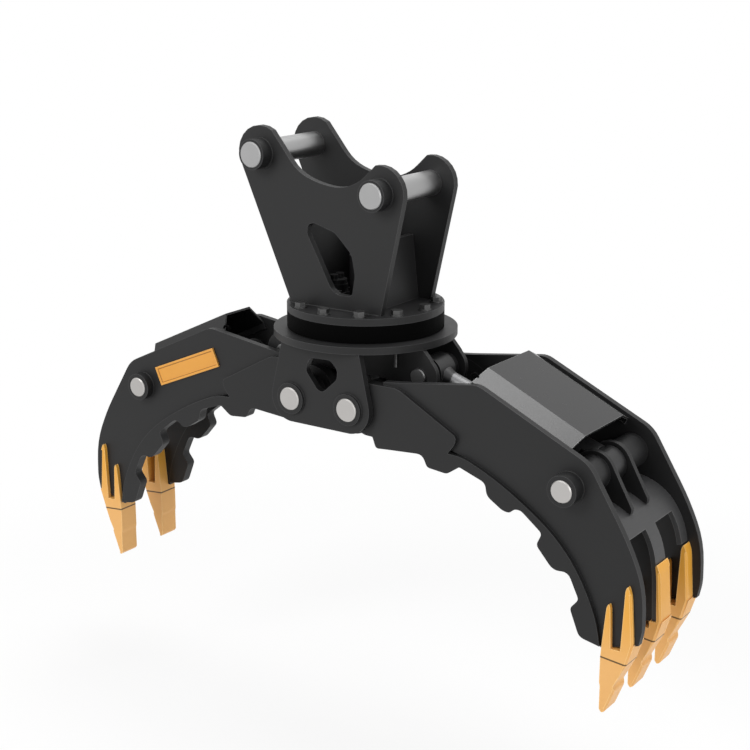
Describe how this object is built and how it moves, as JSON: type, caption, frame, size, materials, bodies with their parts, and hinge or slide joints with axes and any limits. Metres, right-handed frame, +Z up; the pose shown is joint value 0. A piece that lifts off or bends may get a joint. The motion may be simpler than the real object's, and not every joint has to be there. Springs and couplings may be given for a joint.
{
  "type": "rotating grapple",
  "caption": "Excavator grapple with hydraulic jaws whose serrated, toothed tines interleave, hung from a slewing head with two mounting pins.",
  "frame": {"origin": "on the slew axis at the level of the tooth tips, jaws fully open", "axes": "+X towards the three-tine jaw, +Y across the jaws away from the camera side, +Z up along the slew axis"},
  "size_m": [1.6478, 0.44, 1.1985],
  "materials": {
    "painted_dark": "satin dark grey paint",
    "painted_black": "satin black paint",
    "painted_amber": "orange-yellow paint, satin",
    "pin_steel": "machined bright",
    "rod_chrome": "hard chromed, slightly satin",
    "bronze": "machined bronze",
    "seal_rubber": "black rubber",
    "bolt_steel": "dark phosphated steel",
    "guard_paint": "satin grey paint"
  },
  "bodies": {
    "head": {"ear_front": "painted_dark", "ear_rear": "painted_dark", "web_stick_side": "painted_dark", "web_link_side": "painted_dark", "head_flange": "painted_dark", "stick_pin": "pin_steel", "link_pin": "pin_steel", "flange_bolts": "bolt_steel", "slew_outer_ring": "painted_black", "slew_seal": "seal_rubber", "slew_motor": "painted_black", "motor_bolts": "bolt_steel", "swivel_housing": "painted_black"},
    "pinion": {"pinion": "pin_steel"},
    "lower_frame": {"slew_inner_ring": "painted_black", "slew_balls": "pin_steel", "round_plate": "painted_dark", "ring_bolts": "bolt_steel", "bracket_front": "painted_dark", "bracket_rear": "painted_dark", "frame_web": "painted_dark", "wide_clevis": "painted_dark", "narrow_clevis": "painted_dark", "wide_pivot_pin": "pin_steel", "narrow_pivot_pin": "pin_steel", "wide_clevis_pin": "pin_steel", "narrow_clevis_pin": "pin_steel", "swivel_spool": "pin_steel"},
    "wide_jaw": {"wide_side_front": "painted_dark", "wide_side_rear": "painted_dark", "wide_claw_front": "painted_dark", "wide_claw_rear": "painted_dark", "wide_floor": "painted_dark", "wide_ribs": "painted_dark", "wide_guard": "guard_paint", "wide_hub": "painted_dark", "wide_bushes": "bronze", "wide_cylinder_pin": "pin_steel", "wide_adapters": "painted_amber", "wide_teeth": "painted_amber", "wide_middle_tine": "painted_dark"},
    "narrow_jaw": {"narrow_side_front": "painted_dark", "narrow_side_rear": "painted_dark", "narrow_claw_front": "painted_dark", "narrow_claw_rear": "painted_dark", "narrow_floor": "painted_dark", "narrow_ribs": "painted_dark", "narrow_guard": "guard_paint", "narrow_hub": "painted_dark", "narrow_bushes": "bronze", "narrow_cylinder_pin": "pin_steel", "narrow_adapters": "painted_amber", "narrow_teeth": "painted_amber"},
    "wide_cylinder": {"wide_barrel": "painted_black", "wide_gland": "painted_black"},
    "narrow_cylinder": {"narrow_barrel": "painted_black", "narrow_gland": "painted_black"},
    "wide_piston_rod": {"wide_rod": "rod_chrome"},
    "narrow_piston_rod": {"narrow_rod": "rod_chrome"}
  },
  "joints": [
    {"name": "slew", "type": "hinge", "parent": "head", "child": "lower_frame", "pos_m": [0, 0, 0.749], "axis": [0, 0, 1], "continuous": true},
    {"name": "pinion_spin", "type": "hinge", "parent": "head", "child": "pinion", "pos_m": [-0.084, 0, 0.749], "axis": [0, 0, 1], "continuous": true},
    {"name": "wide_jaw_hinge", "type": "hinge", "parent": "lower_frame", "child": "wide_jaw", "pos_m": [0.082, 0, 0.577], "axis": [0, 1, 0], "range_deg": [0, 55]},
    {"name": "narrow_jaw_hinge", "type": "hinge", "parent": "lower_frame", "child": "narrow_jaw", "pos_m": [-0.082, 0, 0.577], "axis": [0, -1, 0], "range_deg": [0, 55]},
    {"name": "wide_barrel_swing", "type": "hinge", "parent": "wide_jaw", "child": "wide_cylinder", "pos_m": [0.64, 0, 0.495], "axis": [0, 1, 0], "range_deg": [0, 3.8]},
    {"name": "narrow_barrel_swing", "type": "hinge", "parent": "narrow_jaw", "child": "narrow_cylinder", "pos_m": [-0.64, 0, 0.495], "axis": [0, -1, 0], "range_deg": [0, 3.8]},
    {"name": "wide_rod_stroke", "type": "slide", "parent": "wide_cylinder", "child": "wide_piston_rod", "axis": [-0.9465, 0, 0.3226], "range_m": [0, 0.119]},
    {"name": "narrow_rod_stroke", "type": "slide", "parent": "narrow_cylinder", "child": "narrow_piston_rod", "axis": [0.9465, 0, 0.3226], "range_m": [0, 0.119]}
  ],
  "couplings": [
    {"joint": "pinion_spin", "follows": "slew", "ratio": 4},
    {"joint": "wide_barrel_swing", "follows": "wide_jaw_hinge", "ratio": 0.0685},
    {"joint": "narrow_barrel_swing", "follows": "narrow_jaw_hinge", "ratio": 0.0685},
    {"joint": "wide_rod_stroke", "follows": "wide_jaw_hinge", "m_per_rad": 0.12377},
    {"joint": "narrow_rod_stroke", "follows": "narrow_jaw_hinge", "m_per_rad": 0.12377}
  ]
}
